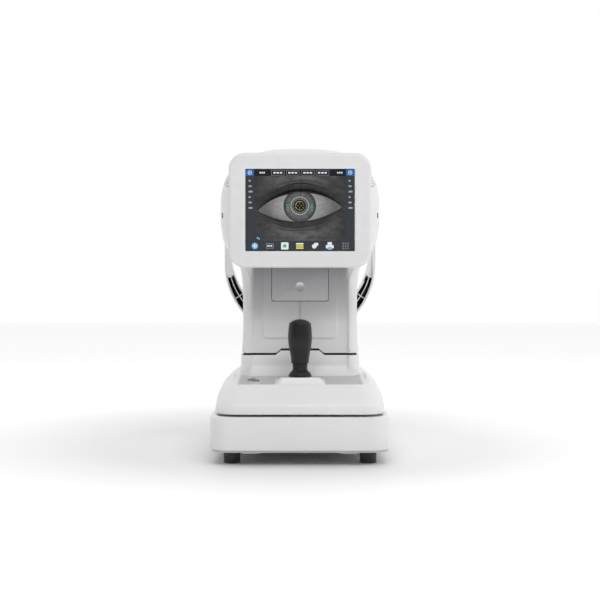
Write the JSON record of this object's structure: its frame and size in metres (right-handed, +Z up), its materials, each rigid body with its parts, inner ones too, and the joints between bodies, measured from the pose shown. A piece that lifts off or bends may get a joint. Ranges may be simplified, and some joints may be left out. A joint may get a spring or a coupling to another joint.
{
  "type": "autorefractor",
  "caption": "Table-top automatic refractometer with a joystick stage, a measuring head on a lifting column, a tilting screen, a receipt printer, and a face frame with a chin rest.",
  "frame": {"origin": "centre of the bounding box's underside, on the table between the rubber feet", "axes": "+Z up, -Y towards the operator's screen, +Y towards the patient, +X to the operator's right"},
  "size_m": [0.267, 0.47, 0.475],
  "materials": {
    "cover_white": "satin moulded plastic with a very fine texture",
    "bezel_white": "smooth satin-gloss moulded plastic",
    "base_white": "satin moulded plastic",
    "pan_grey": "powder-coated steel",
    "foot_rubber": "matt rubber",
    "grip_black": "soft-touch moulded plastic",
    "boot_rubber": "matt rubber",
    "steel": "ground steel",
    "plate_aluminium": "milled",
    "bush_brass": "turned",
    "motor_black": "painted",
    "board_green": "solder mask",
    "inlet_black": "moulded",
    "supply_case": "folded sheet",
    "liner_black": "dull black",
    "switch_grey": "moulded",
    "pad_silicone": "soft silicone",
    "lens_glass": "coated glass",
    "barrel_black": "black anodised",
    "screen_glass": "glass-fronted display",
    "sleeve_black": "moulded",
    "paper_white": "thermal paper",
    "mark_black": "printed line"
  },
  "bodies": {
    "base": {"base_housing": "base_white", "base_pan": "pan_grey", "rubber_feet": "foot_rubber", "base_screws": "steel", "rack_rails": "steel", "slide_pad": "boot_rubber", "power_inlet": "inlet_black", "power_supply": "supply_case", "port_panel": "inlet_black", "chin_pillar": "base_white", "face_frame": "base_white", "pocket_liners": "liner_black", "forehead_bracket": "base_white", "forehead_rest": "pad_silicone", "eye_level_marks": "mark_black", "chin_motor": "motor_black"},
    "power_switch": {"power_rocker": "inlet_black"},
    "chin_rest": {"chin_cup": "base_white", "chin_post": "base_white", "paper_pins": "steel"},
    "chin_drive": {"chin_screw": "steel"},
    "carriage": {"axle_carriage": "plate_aluminium"},
    "axle": {"cross_axle": "steel", "pinion_wheels": "steel"},
    "stage": {"stage_cover": "cover_white", "neck_collar": "cover_white", "stage_chassis": "plate_aluminium", "axle_bushes": "bush_brass", "joystick_boss": "cover_white", "joystick_boot": "boot_rubber", "guide_rods": "steel", "lift_motor": "motor_black", "control_board": "board_green", "column_sleeve": "sleeve_black", "gimbal_seat": "plate_aluminium"},
    "chin_key": {"chin_switch": "switch_grey"},
    "gimbal": {"gimbal_ring": "bush_brass"},
    "joystick": {"joystick_shaft": "steel", "joystick_collar": "grip_black"},
    "grip": {"joystick_grip": "grip_black"},
    "button": {"measure_button": "grip_black"},
    "lift_drive": {"lift_screw": "steel"},
    "head": {"column_cover_left": "cover_white", "column_cover_right": "cover_white", "head_cover_left": "cover_white", "head_cover_right": "cover_white", "head_frame": "plate_aluminium", "lens_barrel": "barrel_black", "objective_lens": "lens_glass", "nose_ring": "barrel_black", "front_window": "lens_glass", "camera_board": "board_green", "printer_case": "motor_black"},
    "screen": {"screen_bezel": "bezel_white", "screen_back": "bezel_white", "touch_panel": "screen_glass", "screen_hinge_pin": "steel"},
    "door": {"printer_door": "cover_white"},
    "platen": {"platen_roller": "foot_rubber"},
    "roll": {"paper_roll": "paper_white"}
  },
  "joints": [
    {"name": "carriage_slide", "type": "slide", "parent": "base", "child": "carriage", "axis": [0, 1, 0], "range_m": [-0.02, 0.02]},
    {"name": "axle_spin", "type": "hinge", "parent": "carriage", "child": "axle", "pos_m": [0, 0.02, 0.053], "axis": [1, 0, 0], "range_deg": [-100, 100]},
    {"name": "stage_slide", "type": "slide", "parent": "carriage", "child": "stage", "axis": [1, 0, 0], "range_m": [-0.04, 0.04]},
    {"name": "head_lift", "type": "slide", "parent": "stage", "child": "head", "axis": [0, 0, 1], "range_m": [0, 0.03]},
    {"name": "lift_screw_spin", "type": "hinge", "parent": "stage", "child": "lift_drive", "pos_m": [0, 0.02, 0.19], "axis": [0, 0, 1], "range_deg": [-5, 1090]},
    {"name": "screen_tilt", "type": "hinge", "parent": "head", "child": "screen", "pos_m": [0, -0.149, 0.436], "axis": [-1, 0, 0], "range_deg": [0, 40]},
    {"name": "door_swing", "type": "hinge", "parent": "head", "child": "door", "pos_m": [0, -0.0883, 0.2365], "axis": [1, 0, 0], "range_deg": [0, 90]},
    {"name": "platen_spin", "type": "hinge", "parent": "door", "child": "platen", "pos_m": [0, -0.081, 0.282], "axis": [1, 0, 0], "continuous": true},
    {"name": "roll_spin", "type": "hinge", "parent": "head", "child": "roll", "pos_m": [0, -0.05, 0.266], "axis": [1, 0, 0], "continuous": true},
    {"name": "gimbal_tilt", "type": "hinge", "parent": "stage", "child": "gimbal", "pos_m": [0, -0.145, 0.112], "axis": [1, 0, 0], "range_deg": [-10, 10]},
    {"name": "stick_tilt", "type": "hinge", "parent": "gimbal", "child": "joystick", "pos_m": [0, -0.145, 0.112], "axis": [0, 1, 0], "range_deg": [-10, 10]},
    {"name": "grip_twist", "type": "hinge", "parent": "joystick", "child": "grip", "pos_m": [0, -0.145, 0.17], "axis": [0, 0, 1], "range_deg": [-30, 30], "stiffness_Nm_per_rad": 0.05},
    {"name": "button_press", "type": "slide", "parent": "grip", "child": "button", "axis": [0, 0, -1], "range_m": [0, 0.0015], "stiffness_N_per_m": 600, "springref_m": -0.0008},
    {"name": "chin_key_rock", "type": "hinge", "parent": "stage", "child": "chin_key", "pos_m": [-0.0684, -0.176, 0.1182], "axis": [0, 1, 0], "range_deg": [-4, 4], "stiffness_Nm_per_rad": 0.2},
    {"name": "chin_lift", "type": "slide", "parent": "base", "child": "chin_rest", "axis": [0, 0, 1], "range_m": [0, 0.06]},
    {"name": "chin_screw_spin", "type": "hinge", "parent": "base", "child": "chin_drive", "pos_m": [0, 0.19, 0.13], "axis": [0, 0, 1], "range_deg": [-5, 1810]},
    {"name": "power_rock", "type": "hinge", "parent": "base", "child": "power_switch", "pos_m": [0.088, 0.203, 0.0465], "axis": [1, 0, 0], "range_deg": [-6, 6]}
  ],
  "couplings": [
    {"joint": "axle_spin", "follows": "carriage_slide", "rad_per_m": -83.333},
    {"joint": "lift_screw_spin", "follows": "head_lift", "rad_per_m": 628.32},
    {"joint": "chin_screw_spin", "follows": "chin_lift", "rad_per_m": 523.6}
  ]
}
